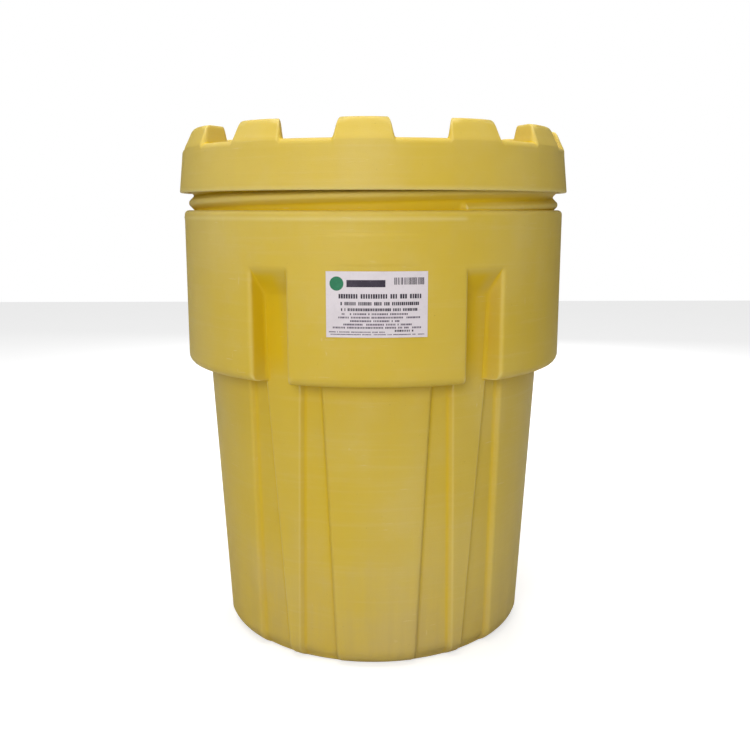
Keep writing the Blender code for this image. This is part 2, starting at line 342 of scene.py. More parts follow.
class Look:
    # a material's nodes, with the few calls that each finish needs
    def __init__(self, name):
        self.material = bpy.data.materials.new(name)
        self.material.use_nodes = True
        self.tree = self.material.node_tree
        self.shader = self.tree.nodes["Principled BSDF"]
        coordinates = self.tree.nodes.new("ShaderNodeTexCoord")
        self.place = coordinates.outputs["Object"]

    def set(self, **values):
        for key, value in values.items():
            self.shader.inputs[key.replace("_", " ")].default_value = value

    def attribute(self, name):
        node = self.tree.nodes.new("ShaderNodeAttribute")
        node.attribute_name = name
        return Field(self.tree, node.outputs["Fac"])

    def axis(self, name):
        node = self.tree.nodes.new("ShaderNodeSeparateXYZ")
        self.tree.links.new(self.place, node.inputs[0])
        return Field(self.tree, node.outputs[name])

    def stretched(self, scale, turn=(0, 0, 0)):
        node = self.tree.nodes.new("ShaderNodeMapping")
        node.inputs["Scale"].default_value = scale
        node.inputs["Rotation"].default_value = turn
        self.tree.links.new(self.place, node.inputs["Vector"])
        return node.outputs["Vector"]

    def noise(self, scale, detail=3.0, rough=0.5, place=None):
        node = self.tree.nodes.new("ShaderNodeTexNoise")
        node.inputs["Scale"].default_value = scale
        node.inputs["Detail"].default_value = detail
        node.inputs["Roughness"].default_value = rough
        self.tree.links.new(place or self.place, node.inputs["Vector"])
        return Field(self.tree, node.outputs["Fac"])

    def colour(self, base, *layers):
        # each layer is (colour, amount), laid over what is below it
        below = None
        for colour, amount in layers:
            node = self.tree.nodes.new("ShaderNodeMix")
            node.data_type = "RGBA"
            if below is None:
                node.inputs["A"].default_value = (*base, 1)
            else:
                self.tree.links.new(below, node.inputs["A"])
            node.inputs["B"].default_value = (*colour, 1)
            plug(self.tree, amount, node.inputs["Factor"])
            below = node.outputs["Result"]
        self.tree.links.new(below, self.shader.inputs["Base Color"])

    def roughness(self, field):
        plug(self.tree, field, self.shader.inputs["Roughness"])

    def bump(self, *layers):
        # each layer is (height field, distance in metres)
        below = None
        for height, distance in layers:
            node = self.tree.nodes.new("ShaderNodeBump")
            node.inputs["Strength"].default_value = 1.0
            node.inputs["Distance"].default_value = distance
            plug(self.tree, height, node.inputs["Height"])
            if below is not None:
                self.tree.links.new(below, node.inputs["Normal"])
            below = node.outputs["Normal"]
        self.tree.links.new(below, self.shader.inputs["Normal"])


poly = {
    "panel": (0.625, 0.448, 0.050),     # the moulded surface
    "shadeTint": (0.68, 0.455, 0.003),       # painted shade: the saturated yellow of shaded hollows, creases, the recesses' left sides and the neck under the lid
    "paintedHighlight": (0.76, 0.63, 0.24),         # painted highlight, on convex edges and along the band's shoulder
    "milky": (0.67, 0.52, 0.155),
    "dust": (0.49, 0.355, 0.135),
    "scuff": (0.74, 0.62, 0.32),
    "dirt": (0.22, 0.14, 0.03),
    "roughness": 0.42,
    "subsurface": 0.15,
    "subsurfaceDepth": 0.012,
}


def polyMaterial(name, dustTop):
    look = Look(name)
    paintedShade = look.attribute("paintedShade")
    edge = look.attribute("edge")
    shoulderHighlight = look.attribute("shoulderHighlight")
    height = look.axis("Z")
    clouds = look.noise(2.1, 3)
    patches = look.noise(9.0, 4, 0.6)
    speckle = look.noise(160.0, 2)
    grain = look.noise(620.0, 2)
    streaks = look.noise(1.0, 4, 0.6, look.stretched((34, 34, 1.6)))
    bands = look.noise(1.0, 3, 0.6, look.stretched((4, 4, 90)))
    scratches = look.noise(1.0, 2, 0.5, look.stretched((22, 22, 240), (0.5, 0.3, 0)))
    finer = look.noise(1.0, 2, 0.5, look.stretched((26, 260, 30), (0.2, 0.9, 0.5)))
    scratch = (scratches.share(0.69, 0.76) + finer.share(0.70, 0.77)) * patches.share(0.45, 0.65)
    low = 1.0 - height.share(0.0, dustTop)
    dust = (low * low * 0.55 + 0.10) * (patches * 0.8 + streaks * 0.7).share(0.45, 1.05)
    look.colour(
        poly["panel"],
        (poly["milky"], clouds.share(0.32, 0.68) * 0.55 + patches.share(0.45, 0.75) * 0.25
         + bands.share(0.5, 0.75) * 0.2),
        # painted shade in hollows, with a little random tone from the clouds
        (poly["shadeTint"], (paintedShade * 0.85).math("ADD", clouds.share(0.62, 0.38) * 0.10, clamp=True)),
        # painted shade in concave creases and inside corners
        (poly["shadeTint"], (edge * -1.0).share(8.0, 70.0) * 0.75),
        # painted highlight on convex edges, and in patches along the band's shoulder
        (poly["paintedHighlight"], (edge.share(25.0, 130.0) * 0.6).atLeast(shoulderHighlight * (0.35 + patches * 0.6))),
        (poly["dust"], dust * 0.85),
        (poly["dirt"], (1.0 - height.share(0.0, 0.05)) * (0.10 + patches.share(0.4, 0.7) * 0.25)),
        (poly["dirt"], speckle.share(0.73, 0.80) * 0.25),
        (poly["scuff"], scratch * 0.35),
    )
    look.roughness(poly["roughness"] + (patches - 0.5) * 0.22 + dust * 0.25 + scratch * 0.12)
    look.bump(
        (clouds, 0.0035),
        (bands, 0.00025),
        (patches, 0.0011),
        (grain, 0.00022),
        (scratch, -0.00010),
    )
    look.set(Subsurface_Weight=poly["subsurface"], Subsurface_Scale=poly["subsurfaceDepth"],
             Subsurface_Radius=(1.0, 0.72, 0.12), Specular_IOR_Level=0.17, IOR=1.5)
    return look.material


stage = {
    "floor": (0.62, 0.62, 0.62),
    "floorPatch": (0.60, 0.60, 0.60),
    "floorGlow": 0.62,              # seen, and not a light on the drum
    "floorSize": 14.0,
    "frontGlow": 0.57,
    "backGlow": 0.42,               # share of it that comes from behind
    # name, place, aimed at, size, watts
    "lamps": [
        ("keyLamp", (-0.7, -3.6, 2.0), (0, 0, 0.6), 1.6, 59),
        ("topLamp", (-0.3, -0.3, 3.6), (0, 0, 0.5), 2.4, 76),
        ("backLamp", (0.5, 3.7, 2.0), (0, 0, 0.6), 1.8, 72),
    ],
}
view = {
    "distance": 2.0,
    "height": 0.896,
    "turn": -1.05,
    "down": 10.31,
    "aside": 0.10,
    "lens": 43.73,
}


def aim(thing, start, target):
    thing.location = start
    thing.rotation_euler = (Vector(target) - Vector(start)).to_track_quat("-Z", "Y").to_euler()


def makeCamera():
    camera = bpy.data.objects.new("camera", bpy.data.cameras.new("camera"))
    bpy.context.scene.collection.objects.link(camera)
    turn = math.radians(view["turn"])
    across, onward = view["distance"] * math.sin(turn), -view["distance"] * math.cos(turn)
    camera.location = (across, onward, view["height"])
    camera.rotation_euler = (math.radians(90 - view["down"]), 0, turn - math.radians(view["aside"]))
    camera.data.sensor_width = 36
    camera.data.lens = view["lens"]
    camera.data.clip_start = 0.05
    bpy.context.scene.camera = camera
    bpy.context.scene.view_settings.view_transform = "Standard"


def makeWorld():
    # white to look at, and dimmer as a light, more so from behind
    world = bpy.data.worlds.new("studio")
    world.use_nodes = True
    tree = world.node_tree
    tree.nodes.clear()
    sight = tree.nodes.new("ShaderNodeBackground")
    light = tree.nodes.new("ShaderNodeBackground")
    sight.inputs["Color"].default_value = (1, 1, 1, 1)
    coordinates = tree.nodes.new("ShaderNodeTexCoord")
    split = tree.nodes.new("ShaderNodeSeparateXYZ")
    tree.links.new(coordinates.outputs["Generated"], split.inputs[0])
    front = (-Field(tree, split.outputs["Y"])).share(-0.25, 0.5)
    strength = (front * (1.0 - stage["backGlow"]) + stage["backGlow"]) * stage["frontGlow"]
    plug(tree, strength, light.inputs["Strength"])
    path = tree.nodes.new("ShaderNodeLightPath")
    choose = tree.nodes.new("ShaderNodeMixShader")
    tree.links.new(path.outputs["Is Camera Ray"], choose.inputs[0])
    tree.links.new(light.outputs[0], choose.inputs[1])
    tree.links.new(sight.outputs[0], choose.inputs[2])
    leave = tree.nodes.new("ShaderNodeOutputWorld")
    tree.links.new(choose.outputs[0], leave.inputs["Surface"])
    bpy.context.scene.world = world


def makeStage():
    half = stage["floorSize"] / 2
    corners = [(-half, -half, 0), (half, -half, 0), (half, half, 0), (-half, half, 0)]
    floor = newPiece("floor", corners, [(0, 1, 2, 3)])
    look = Look("paleFloor")
    look.colour(stage["floor"], (stage["floorPatch"], look.noise(3.0).share(0.3, 0.7) * 0.3))
    look.set(Roughness=0.8, Specular_IOR_Level=0.1, Emission_Color=(1, 1, 1, 1))
    path = look.tree.nodes.new("ShaderNodeLightPath")
    plug(look.tree, Field(look.tree, path.outputs["Is Camera Ray"]) * stage["floorGlow"],
         look.shader.inputs["Emission Strength"])
    floor.data.materials.append(look.material)
    makeWorld()
    for name, start, target, size, watts in stage["lamps"]:
        data = bpy.data.lights.new(name, "AREA")
        data.size = size
        data.energy = watts
        lamp = bpy.data.objects.new(name, data)
        bpy.context.scene.collection.objects.link(lamp)
        lamp.visible_glossy = start[1] < 3      # no bright rim from the one behind
        aim(lamp, start, target)


drum = {
    "wall": 0.0055,
    "panels": 6,
    "draft": 0.0516,                # growth of the lower body's radius per metre of height
    "bandStep": 0.0435,             # lower body to band
    "bandTop": rim - 0.088,
    "cornerStart": rim - 0.386,     # where the band starts to round in
    "cornerFillet": 0.018,
    "cornerSweep": 84,
    "underSlope": 6,
    "shoulderFillet": 0.009,
    "footFillet": 0.036,
    "baseRing": 0.089,
    "baseRise": 0.006,
    "rimRound": 0.0024,
    "inLedge": 0.003,               # inside corner under the band's top
    "dustTop": 0.45,                # dust thins out up to here
    "ledgeLow": 0.55, "ledgeHigh": 0.58,    # columns leave a rib's side for a recess's side
}
# heights where the spacing of the rows changes, and the spacing beyond each
outsideBands = [
    (drum["footFillet"] + 0.008, 0.019), (0.545, 0.005), (0.570, 0.0012), (0.5735, 0.00045),
    (0.579, 0.0016), (0.600, 0.0095), (0.738, 0.0026), (0.806, 0.010), (0.846, 0.0026), (0.862, 0.006),
]
insideBands = [
    (drum["bandTop"] - drum["wall"] - drum["inLedge"], 0.03), (0.81, 0.008), (0.735, 0.03),
    (0.60, 0.004), (0.588, 0.0009), (0.578, 0.05),
]
panel = {
    "channelDepth": 0.0100,
    "channelSoft": 0.0052,          # half width of a channel's side
    "channelBlend": 0.004,
    "channelFoot": 0.011,           # height over which it runs out at the base
    "channelTop": rim - 0.398,
    "edgeLow": 14.0, "edgeHigh": 17.1,      # raised panel, at the floor and at the ledge
    "ribLow": 2.5, "ribHigh": 6.8,          # raised rib, half of it
    "recessHalf": 5.55,             # degrees
    "recessTop": rim - 0.192,
    "ceilingSlope": 1.32,
    "ceilingInset": 1.65,           # how far it is lower inside, for each metre of wall
    "ceilingRound": 0.009,
    "sideSlope": 12.0,              # depth of a recess side for each metre across
    "sideRound": 0.0075,
    "fillet": 0.011,
    "beadStart": -168.0, "beadEnd": 24.0,   # a low swelling along the band's top edge
    "beadLow": rim - 0.1035, "beadHigh": rim - 0.0895, "beadRise": 0.0011,
    "padHalf": 12.6, "padLow": 0.799, "padHigh": 0.853, "padRise": 0.0008,
    "padSoft": 0.002, "padSoftTurn": 0.25,
    "markTurn": -29.6, "markHeight": 0.520, "markRadius": 0.0155,   # a faint moulded ring
    "markRise": 0.0006, "markHalf": 0.0022,
}


def bodyRadius(height):
    foot = bandRadius - drum["bandStep"] - drum["draft"] * drum["cornerStart"]
    return foot + drum["draft"] * height


def bandCut(height, inset):
    # how far the band's lower corner and underside stand back from its face
    size = drum["cornerFillet"] - inset
    below = drum["cornerStart"] - height
    if below <= 0:
        return 0.0
    sweep = math.radians(drum["cornerSweep"])
    if below < size * math.sin(sweep):
        return size - math.sqrt(size * size - below * below)
    slope = math.tan(math.radians(drum["underSlope"]))
    return size - size * math.cos(sweep) + (below - size * math.sin(sweep)) / slope


def drumRows():
    rows = []

    def row(radius, height, share=1.0, inset=0.0, neck=neckRadius, ribbed=0.0, face=0.0):
        # share is 1 on the body and 0 on the neck, and face is 1 where panels are moulded
        rows.append({
            "radius": radius, "height": height, "share": share, "inset": inset, "neck": neck,
            "ribbed": ribbed, "under": min(bandCut(height, inset), 0.3), "face": face})

    fillet, rise = drum["footFillet"], drum["baseRise"]
    footCentre = bodyRadius(fillet) - fillet
    inner = footCentre - drum["baseRing"]
    top = drum["bandTop"]
    # outside, from the middle of the base to the rim
    row(0.0, rise)
    for radius in (0.05, inner * 0.6, inner - rise - 0.003):
        row(radius, rise)
    row(inner - rise, rise - 0.0006)
    row(inner - 0.0012, 0.0008)
    for radius in (inner, inner + 0.003, (inner + footCentre) / 2, footCentre - 0.004):
        row(radius, 0.0)
    for radius, height in arc(footCentre, fillet, fillet, -90, 0, 15):
        row(radius, height, face=1.0)
    for height in banded(outsideBands, top - drum["shoulderFillet"]):
        row(bodyRadius(height), height, face=1.0)
    shoulder = drum["shoulderFillet"]
    band = arc(bandRadius - shoulder, top - shoulder, shoulder, 0, 90, 7)
    for radius, height in band:
        row(radius, height)
    for share in (0.6, 0.3, 0.12):
        row(band[-1][0], top, share=share, ribbed=1.0)
    for height in [top, top + 0.0006] + steps(top + 0.002, rim - 0.004, 0.0021):
        row(neckRadius, height, share=0.0, ribbed=1.0)
    edge, wall = drum["rimRound"], drum["wall"]
    for radius, height in arc(neckRadius - edge, rim - edge, edge, 0, 90, 4):
        row(radius, height, share=0.0, neck=radius)
    for radius, height in arc(neckRadius - wall + edge, rim - edge, edge, 90, 180, 4):
        row(radius, height, share=0.0, neck=radius)
    # inside, back down to the middle of the base
    inside = neckRadius - wall
    for height in steps(rim - 0.008, top - wall, 0.024) + [top - wall + 0.0005]:
        row(inside, height, share=0.0, inset=wall, neck=inside)
    for share in (0.0, 0.5, 1.0):
        row(bandRadius - wall - drum["inLedge"], top - wall, share=share, inset=wall, neck=inside)
    for height in banded(insideBands, fillet):
        row(bodyRadius(height) - wall, height, inset=wall, face=1.0)
    for radius, height in arc(footCentre, fillet, fillet - wall, 0, -90, 7):
        row(radius, height, inset=wall, face=1.0)
    row(inner, wall, inset=wall)
    row(inner - rise, wall + rise, inset=wall)
    row(0.05, wall + rise, inset=wall)
    row(0.0, wall + rise, inset=wall)
    return rows


def drumTurns(rows):
    # columns that follow the sloping edges of the panels and ribs, so that those edges stay crisp
    half, low, high = 180 / drum["panels"], drum["ledgeLow"], drum["ledgeHigh"]
    turns = []
    for row in rows:
        share = min(max(row["height"] / panel["channelTop"], 0), 1)
        above = min(max((row["height"] - low) / (high - low), 0), 1)
        edge = panel["edgeLow"] + (panel["edgeHigh"] - panel["edgeLow"]) * share
        rib = half - panel["ribLow"] - (panel["ribHigh"] - panel["ribLow"]) * share
        rib += (half - panel["recessHalf"] - rib) * above
        part = ([0, 0.27 * edge, 0.52 * edge, 0.76 * edge] + denser(edge, 1.7, 1.7, 9)
                + [edge + (rib - edge) * 0.5] + denser(rib, 2.2, 1.2, 13)
                + [rib + (half - rib) * 0.55, half])
        part += [2 * half - t for t in reversed(part[1:-1])]
        turns.append([2 * half * p + t for p in range(drum["panels"]) for t in part])
    return turns


def drumTree(material):
    sizes = {**panel, **thread, "panelTurn": 180.0 / drum["panels"], "bandRadius": bandRadius}
    tree, geometry, size = newTree("drumSkin", sizes)
    turn, z, core = (stored(tree, n) for n in ("turn", "height", "radius"))
    inset, under, face = (stored(tree, n) for n in ("inset", "under", "face"))
    toMetres = core * math.radians(1)
    fold = turn.math("PINGPONG", size["panelTurn"])         # degrees from the nearest panel's middle

    # channels between each panel and the ribs beside it
    share = (z / size["channelTop"]).math("MINIMUM", 1.0)
    panelEdge = size["edgeLow"].mixTo(size["edgeHigh"], share)
    ribEdge = size["panelTurn"] - size["ribLow"].mixTo(size["ribHigh"], share)
    inChannel = ((fold - panelEdge) * toMetres).atMost((ribEdge - fold) * toMetres, size["channelBlend"])
    channel = (inChannel + inset).share(-size["channelSoft"], size["channelSoft"])
    channel = channel * z.share(0.0, size["channelFoot"])
    lower = core - channel * size["channelDepth"]

    # band, with a recess between neighbouring panels
    across = (size["panelTurn"] - size["recessHalf"] - fold) * math.radians(1) * size["bandRadius"] - inset
    into = (size["sideRound"] - across).atLeast(0.0).atMost(size["sideRound"])
    side = size["sideRound"] - (size["sideRound"].squared() - into.squared()).math("SQRT")
    side = side + (-across).atLeast(0.0) * size["sideSlope"]
    ceiling = (size["recessTop"] - z + inset * size["ceilingInset"]).atLeast(0.0, size["ceilingRound"])
    ceiling = ceiling / size["ceilingSlope"]
    recess = side * ceiling / (side.squared() + ceiling.squared() + 1e-8).math("SQRT")
    cut = (recess.squared() + under.squared()).math("SQRT")
    band = size["bandRadius"] - inset - cut

    # blank pad above the label, low swelling along the top edge, faint ring on the body
    pad = (size["padHalf"] - turn.math("PINGPONG", 180.0)).share(-size["padSoftTurn"], size["padSoftTurn"])
    for inPad in (z - size["padLow"], size["padHigh"] - z):
        pad = pad * inPad.share(-size["padSoft"], size["padSoft"])
    band = band + pad * size["padRise"]
    around = (turn + 180.0).math("MODULO", 360.0) - 180.0
    bead = (around - size["beadStart"]).share(0.0, 6.0) * (size["beadEnd"] - around).share(-0.5, 1.5)
    bead = bead * (z - size["beadLow"]).share(-0.003, 0.003) * (size["beadHigh"] - z).share(-0.004, 0.001)
    band = band + bead * size["beadRise"]
    outer = lower.atLeast(band, size["fillet"]).mixTo(core, 1.0 - face)
    aside = (turn - 360.0 - size["markTurn"]) * toMetres
    ring = (aside.squared() + (z - size["markHeight"]).squared()).math("SQRT") - size["markRadius"]
    ring = (size["markHalf"] - ring.math("ABSOLUTE")).share(0.0, size["markHalf"])
    outer = outer + ring * size["markRise"] * (1.0 - inset * 100.0).atLeast(0.0)

    # helical ribs around the neck
    rib = threadRib(tree, size, turn - size["firstTurn"] + 360.0, z)
    neck = stored(tree, "neck") + rib
    radius = neck.mixTo(outer, stored(tree, "share"))

    angle = turn * math.radians(1)
    geometry = place(tree, geometry, radius * angle.math("SINE"), -(radius * angle.math("COSINE")), z)
    # painted shade: each recess is more saturated on its left, where the panels' shadow falls under light
    # from the left
    fromMiddle = turn.math("MODULO", size["panelTurn"] * 2.0) - size["panelTurn"]
    shadeTint = (cut / 0.030).share(0.04, 0.40) * (1.0 - fromMiddle.share(0.2, 3.6) * 0.85)
    shadeTint = shadeTint * face * (1.0 - under * 40.0).atLeast(0.0) * z.share(0.565, 0.64)
    # painted shade on the neck between its ribs, under the lid's skirt
    neckShade = (1.0 - stored(tree, "share")) * (1.0 - rib / size["depth"])
    shown = 1.0 - z.share(size["channelTop"] - 0.03, size["channelTop"])
    # painted shade in the recesses, faintly in the channels, and on the neck
    paintedShade = shadeTint + channel * face * shown * 0.15 + neckShade * 0.9
    geometry = store(tree, geometry, "paintedShade", paintedShade.atMost(1.0))
    # painted highlight along the band's shoulder, over the low swelling
    geometry = store(tree, geometry, "shoulderHighlight", bead * face)
    endTree(tree, geometry, material)
    return tree, sizes


def makeDrum(material):
    rows = drumRows()
    piece = turnedGrid("drumShell", drumTurns(rows), rows)
    tree, sizes = drumTree(material)
    grown(piece, tree, sizes)
    finishMesh(piece, ["paintedShade", "shoulderHighlight"])
    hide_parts("drum_body")
    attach(piece, "drum")


lid = {
    "lugs": 12,
    "underside": 0.990,             # height of its lower skin
    "skirtBore": neckRadius + 0.013,
    "skirtEdge": 0.015,
    "skirtDepth": 0.089,
    "shoulderRadius": 0.400,
    "shoulderDrop": 0.0125,
    "deckRadius": 0.3895,
    "dishRadius": 0.250,
    "dishDepth": 0.008,
    "edgeRound": 0.003,
    "dustTop": 0.3,                 # dust thins out up to here
    "threadGap": 0.0027,            # neck to the tip of the lid's thread
    "threadFoot": 0.0025,           # skirt's edge to the start of its thread
    "threadPast": 0.004,            # how much higher it ends than the neck's
}
lug = {
    "lidTurn": -3.5,
    "lugHeight": 0.0362,
    "lugOuter": 0.3972,             # radius of its outer face, at the deck
    "lugInner": 0.3262,             # radius of its inner face, at the deck
    "lugShoulder": 0.383,           # radius where it starts to narrow inwards
    "lugHalf": 0.0528,              # half its width there, at the deck
    "lugTaper": 0.716,              # half width lost for each metre further in
    "shoulderSoft": 0.008,
    "outerSlope": 2.5,
    "innerSlope": 5.0,
    "sideSlope": 8.5,
    "cornerSoft": 0.050,
    "topSoft": 0.022,
    "footSoft": 0.030,
}


def lidRows():
    rows = []

    def row(radius, height, raised=0.0, ribbed=0.0):
        rows.append({"radius": radius, "height": height, "raised": raised, "ribbed": ribbed})

    bottom = deck - lid["skirtDepth"]
    bore, outer = lid["skirtBore"], lid["skirtBore"] + lid["skirtEdge"]
    under = lid["underside"]
    dish, low = lid["dishRadius"], deck - lid["dishDepth"]
    row(0.0, low)
    for radius in (0.04, 0.10, 0.16, 0.20, 0.225):
        row(radius, low)
    # a soft step from the dish up to the deck
    for share in np.linspace(0, 1, 9):
        row(dish - 0.012 + 0.014 * share, low + lid["dishDepth"] * (share * share * (3 - 2 * share)))
    for radius in (0.262, 0.285, 0.31):
        row(radius, deck, 1.0)
    edge, shoulder = lid["deckRadius"], lid["shoulderRadius"]
    for radius in steps(0.318, 0.344, 0.0018) + steps(0.344, 0.376, 0.004) + steps(0.376, edge, 0.0014):
        row(radius, deck, 1.0)
    # the deck rounds over into the skirt
    drop, size = lid["shoulderDrop"], lid["edgeRound"]
    for turn in np.radians(np.linspace(7, 86, 12)):
        row(edge + (shoulder - edge) * math.sin(turn), deck - drop * (1 - math.cos(turn)), 1.0)
    for share in np.linspace(0.1, 1, 9):
        row(shoulder + (outer - shoulder) * share, deck - drop + (bottom + size - deck + drop) * share)
    for radius, height in arc(outer - size, bottom + size, size, -15, -90, 5):
        row(radius, height)
    for radius, height in arc(bore + size * 0.6, bottom + size * 0.6, size * 0.6, -90, -180, 4):
        row(radius, height)
    for height in steps(bottom + size, under - size, 0.0021):
        row(bore, height, ribbed=1.0)
    for radius, height in arc(bore - size, under - size, size, 0, 90, 4):
        row(radius, height)
    for radius in (0.36, 0.30, 0.2, 0.1):
        row(radius, under)
    row(0.0, under)
    return rows


def lidTurns(rows):
    # columns gather at the sides of each lug, and follow them inwards
    half, reach, spacing = 180 / lid["lugs"], 1.2, 0.16
    turns = []
    for row in rows:
        along = min(max(row["radius"], lug["lugInner"]), lug["lugOuter"])
        across = lug["lugHalf"] - max(lug["lugShoulder"] - along, 0) * lug["lugTaper"]
        side = math.degrees(math.atan2(across, along))
        part = [0, (side - reach) * 0.5] + [side + t for t in steps(-reach, reach, spacing)]
        part += [side + reach + (half - side - reach) * share for share in (0.0, 0.2, 0.5, 1.0)]
        part += [2 * half - t for t in reversed(part[1:-1])]
        turns.append([lug["lidTurn"] + 2 * half * i + t for i in range(lid["lugs"]) for t in part])
    return turns


def lidTree(material):
    # its thread lies half a pitch from the neck's, and starts where the skirt's edge lets it
    tip = neckRadius + lid["threadGap"]
    depth = lid["skirtBore"] - tip
    crest = threadValley + 2 * (tip - neckRadius) * thread["flank"] - 2 * lid["threadGap"]
    first = deck - lid["skirtDepth"] + (crest / 2 + depth * thread["flank"]) + lid["threadFoot"]
    along = (first - thread["firstHeight"] - thread["pitch"] / 2) / threadLead * 360
    sizes = {**lug, **thread, "depth": depth, "crest": crest, "firstHeight": first,
             "firstTurn": thread["firstTurn"] + along,
             "lastHeight": thread["lastHeight"] + lid["threadPast"], "fadeTurn": 2.0,
             "crestSoft": 0.003, "rootSoft": 0.002, "deck": deck, "half": 180.0 / lid["lugs"]}
    tree, geometry, size = newTree("lidShell", sizes)
    turn, z, radius = (stored(tree, n) for n in ("turn", "height", "radius"))

    # lugs, each a wedge that narrows inwards
    fold = (turn - size["lidTurn"] + 360.0).math("PINGPONG", size["half"]) * math.radians(1)
    aside = radius * fold.math("SINE")
    along = radius * fold.math("COSINE")
    narrower = (size["lugShoulder"] - along).atLeast(0.0, size["shoulderSoft"]) * size["lugTaper"]
    wall = (size["lugHalf"] - narrower - aside) * size["sideSlope"]
    wall = wall.atMost((size["lugOuter"] - radius) * size["outerSlope"], size["cornerSoft"])
    wall = wall.atMost((along - size["lugInner"]) * size["innerSlope"], size["cornerSoft"])
    wall = wall.atMost(size["lugHeight"], size["topSoft"])
    top = z.atLeast(size["deck"] + wall, size["footSoft"])
    height = z.mixTo(top, stored(tree, "raised"))

    radius = radius - threadRib(tree, size, turn - size["firstTurn"] + 720.0, z)
    angle = turn * math.radians(1)
    geometry = place(tree, geometry, radius * angle.math("SINE"), -(radius * angle.math("COSINE")), height)
    # painted shade on the lid's thread inside the skirt and in its middle dish
    middle = (1.0 - (radius - 0.2) * 4.0).share(0.4, 1.2)
    geometry = store(tree, geometry, "paintedShade", stored(tree, "ribbed") * 0.5 + middle * 0.2)
    endTree(tree, geometry, material)
    return tree, sizes


def makeLid(material):
    rows = lidRows()
    piece = turnedGrid("lidShell", lidTurns(rows), rows)
    tree, sizes = lidTree(material)
    grown(piece, tree, sizes)
    finishMesh(piece, ["paintedShade"])
    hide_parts("lid")
    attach(piece, "lid")


gasket = {
    "width": 0.0115,
    "round": 0.0016,
    "bulge": 0.0004,
    "columns": 240,
}


def foamMaterial():
    look = Look("closedCellFoam")
    cells = look.noise(900.0, 2)
    patches = look.noise(28.0, 3)
    look.colour((0.030, 0.031, 0.033), ((0.085, 0.083, 0.078), patches.share(0.35, 0.75) * 0.6),
                ((0.012, 0.012, 0.012), cells.share(0.55, 0.70) * 0.7))
    look.roughness(0.82 + (patches - 0.5) * 0.2)
    look.bump((cells, 0.0005), (patches, 0.0006))
    look.set(Specular_IOR_Level=0.25)
    return look.material


def makeGasket():
    # a flat foam ring with rounded corners, pressed a little proud at its sides
    outer, inner = ringHigh.x, ringHigh.x - gasket["width"]
    low, high = ringLow.z, ringHigh.z
    size = gasket["round"]
    section = []
    for radius, height, start in ((outer - size, low + size, -90), (outer - size, high - size, 0),
                                  (inner + size, high - size, 90), (inner + size, low + size, 180)):
        section += arc(radius, height, size, start, start + 90, 4)
    middle = (low + high) / 2
    rows = []
    for radius, height in section:
        proud = gasket["bulge"] * (1 - abs(height - middle) / (high - low) * 2)
        proud = math.copysign(proud, radius - (outer + inner) / 2)
        rows.append({"radius": radius + proud, "height": height})
    turns = [list(np.linspace(0, 360, gasket["columns"], endpoint=False))] * len(rows)
    piece = turnedGrid("foamRing", turns, rows)
    piece.data.materials.append(foamMaterial())
    finishMesh(piece, [])
    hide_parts("lid_gasket")
    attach(piece, "seal")


label = {
    "width": 0.1815,
    "aside": -0.001,
    "height": labelHigh.z - labelLow.z,
    "middle": (labelHigh.z + labelLow.z) / 2,
    "back": 0.0003,                 # gap to the drum
    "thickness": 0.0006,
    "ink": 0.00012,                 # print above the sheet
    "sink": 0.00003,                # print below its surface
    "columns": 36,
    "rows": 20,
    "curl": 0.00035,
}
# name, middle across, middle up, blocks, width of a row, height, share left blank, ink
prints = [
    ("heading", -0.0195, 0.0372, 3, 0.068, 0.0125, 0.0, "black"),
    ("bars", 0.0570, 0.0415, 34, 0.0540, 0.0125, 0.20, "black"),
    ("lineA", 0.0055, 0.0148, 34, 0.148, 0.0080, 0.12, "black"),
    ("lineB", 0.0050, 0.0018, 40, 0.140, 0.0060, 0.14, "black"),
    ("lineC", 0.0040, -0.0088, 46, 0.136, 0.0050, 0.08, "black"),
    ("lineD", -0.0040, -0.0166, 40, 0.118, 0.0032, 0.14, "grey"),
    ("lineE", 0.0040, -0.0228, 52, 0.146, 0.0032, 0.14, "grey"),
    ("lineF", -0.0040, -0.0290, 30, 0.088, 0.0032, 0.14, "grey"),
    ("lineG", 0.0010, -0.0352, 42, 0.122, 0.0032, 0.14, "grey"),
    ("lineH", 0.0000, -0.0408, 56, 0.158, 0.0032, 0.14, "grey"),
    ("lineI", 0.0480, -0.0464, 11, 0.034, 0.0034, 0.12, "black"),
    ("lineJ", -0.0360, -0.0486, 48, 0.100, 0.0020, 0.16, "grey"),
    ("lineK", 0.0000, -0.0530, 84, 0.170, 0.0018, 0.14, "grey"),
]
# narrowest and widest block, as shares of a row's pitch
blockWidths = {"heading": (1.02, 1.02), "bars": (0.3, 0.9), "line": (0.55, 0.86)}
firstSeed = 3
mark = {"across": -0.0715, "up": 0.0370, "radius": 0.0125, "rings": 4, "sides": 48}


# name, colour, colour where it is smudged, roughness
inks = [
    ("labelVinyl", (0.72, 0.66, 0.69), (0.60, 0.54, 0.57), 0.38),
    ("printBlack", (0.022, 0.014, 0.030), (0.07, 0.05, 0.08), 0.45),
    ("printGrey", (0.085, 0.060, 0.095), (0.20, 0.16, 0.20), 0.45),
    ("printGreen", (0.012, 0.170, 0.075), (0.03, 0.25, 0.12), 0.42),
]


def labelMaterial(name, base, other, rough):
    look = Look(name)
    fibre = look.noise(260.0, 3)
    smudge = look.noise(24.0, 4, 0.6)
    look.colour(base, (other, smudge.share(0.45, 0.75) * 0.45), (other, fibre.share(0.5, 0.8) * 0.35))
    look.roughness(rough + (smudge - 0.5) * 0.25)
    look.bump((smudge, 0.00035), (fibre, 0.00005))
    look.set(Specular_IOR_Level=0.4)
    return look.material


